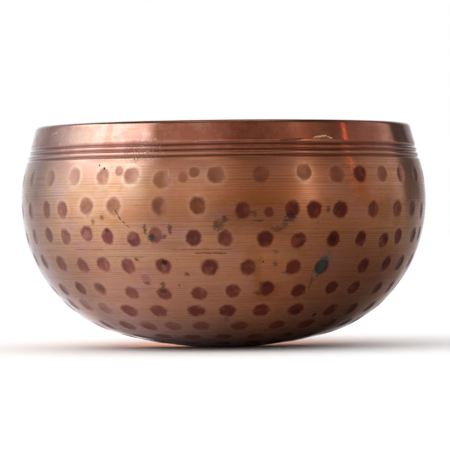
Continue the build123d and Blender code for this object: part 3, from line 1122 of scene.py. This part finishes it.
# The room as the metal sees it, near the horizon and higher up, and its tint.
HORIZON = [
    (-180, 1.0), (-168, 0.85), (-160, 0.62), (-146, 0.40), (-132, 0.30), (-120, 0.48), (-108, 0.74),
    (-96, 0.95), (-84, (1.08, 1.03, 1.0)), (-60, (1.14, 1.05, 1.0)), (-52, (1.0, 0.92, 0.9)),
    (-44, 0.58), (-14, 0.62), (0, 0.54), (12, 0.35), (24, 0.30), (36, 0.36), (42, 0.52),
    (48, (1.1, 1.3, 1.4)), (54, 0.60), (60, 0.38), (76, 0.22), (96, 0.36), (108, 0.31), (119, 0.48),
    (123, 0.42), (127, 0.08), (147, 0.07), (152, 0.24), (160, 0.32), (168, 0.66), (180, 1.0),
]
UPPER = [
    (-180, 1.0), (-168, 0.88), (-160, 0.66), (-152, 0.46), (-144, 0.31), (-132, 0.38), (-120, 0.72),
    (-108, 1.6), (-96, (1.8, 2.1, 2.05)), (-84, (1.9, 2.1, 2.05)), (-60, (1.8, 1.8, 1.75)),
    (-51, (1.55, 1.5, 1.45)), (-44, 0.36), (-10, 0.35), (0, 0.25), (12, 0.12), (24, 0.12), (36, 0.17),
    (48, 0.24), (60, 0.16), (72, 0.10), (84, 0.13), (96, 0.17), (119, 0.36), (123, 0.32), (127, 0.09),
    (147, 0.08), (152, 0.22), (160, 0.42), (170, 0.78), (180, 1.0),
]
TINT = [
    (-180, (1, 1, 1)), (-150, (1, 1.15, 1.25)), (-125, (1, 1.35, 1.7)), (-56, (1, 1.35, 1.8)),
    (-47, (1, 1.3, 1.6)), (-42, (1, 0.92, 0.90)), (-10, (1, 0.92, 0.92)), (10, (1, 0.68, 0.55)),
    (60, (1, 0.78, 0.66)), (120, (1, 0.95, 0.95)), (145, (1, 1.0, 1.05)), (180, (1, 1, 1)),
]
# A thin warm strip at the right, the dark upper room, and a light overhead.
STRIP_AZIMUTH, STRIP_LEAN = math.radians(78.0), math.radians(10.0)
STRIP_EDGE, STRIP_CORE = math.radians(0.55), math.radians(0.25)
STRIP_COLOUR = (3.0, 1.05, 0.40)
DARK_UPPER = (0.05, 0.045, 0.045)
OVERHEAD = (0.48, 0.46, 0.44)


def studio_world():
    """Even white to the eye; to the metal, a room bright behind and left, dim in front and right."""
    world = bpy.data.worlds.new("studio")
    world.use_nodes = True
    g = Graph(world.node_tree)
    x, y, z = g.separate(g.node("TexCoord").outputs["Generated"])
    level = g.mix(g.span(z, 0.34, 0.47), ring_ramp(g, x, y, HORIZON), ring_ramp(g, x, y, UPPER))
    level = g.mix(1.0, level, ring_ramp(g, x, y, TINT), "MULTIPLY")
    strip_azimuth = g.math("MULTIPLY_ADD", z, STRIP_LEAN, STRIP_AZIMUTH)
    off = g.math("ABSOLUTE", g.math("SUBTRACT", g.azimuth(x, y), strip_azimuth))
    strip = g.times(g.span(off, STRIP_EDGE, STRIP_CORE), g.span(z, 0.22, 0.29), g.span(z, 0.55, 0.47))
    level = g.mix(strip, level, STRIP_COLOUR)
    level = g.mix(g.span(z, 0.64, 0.76), level, DARK_UPPER)
    level = g.mix(g.span(z, 0.89, 0.98), level, OVERHEAD)
    glossy = g.node("LightPath").outputs["Is Glossy Ray"]
    g.fill(world.node_tree.nodes["Background"], {"Color": g.mix(glossy, WHITE, level), "Strength": 1.0})
    bpy.context.scene.world = world


SOFTBOX_AZIMUTH, SOFTBOX_ELEVATION = math.radians(-69.0), math.radians(40.0)
SOFTBOX_SIZE, SOFTBOX_DISTANCE, SOFTBOX_RADIANCE = 1.5, 1.6, 0.9
BOWL_MIDDLE = Vector((0.0, 0.0, 0.06))


def softbox():
    """A soft square light at the left that faces the bowl and gives the floor its shadow."""
    light = bpy.data.lights.new("softbox_left", "AREA")
    light.shape = "SQUARE"
    light.size = SOFTBOX_SIZE
    light.energy = SOFTBOX_RADIANCE * math.pi * SOFTBOX_SIZE**2
    made = add_object("softbox_left", light)
    level = math.cos(SOFTBOX_ELEVATION)
    away = Vector((math.sin(SOFTBOX_AZIMUTH) * level, -math.cos(SOFTBOX_AZIMUTH) * level,
                   math.sin(SOFTBOX_ELEVATION)))
    made.location = BOWL_MIDDLE + away * SOFTBOX_DISTANCE
    made.rotation_euler = (-away).to_track_quat("-Z", "Z").to_euler()
    made.visible_camera = False
    made.visible_glossy = False


floor = floor_disc()
floor.data.materials.append(floor_paint())
studio_world()
softbox()
bpy.context.scene.view_settings.view_transform = "Standard"
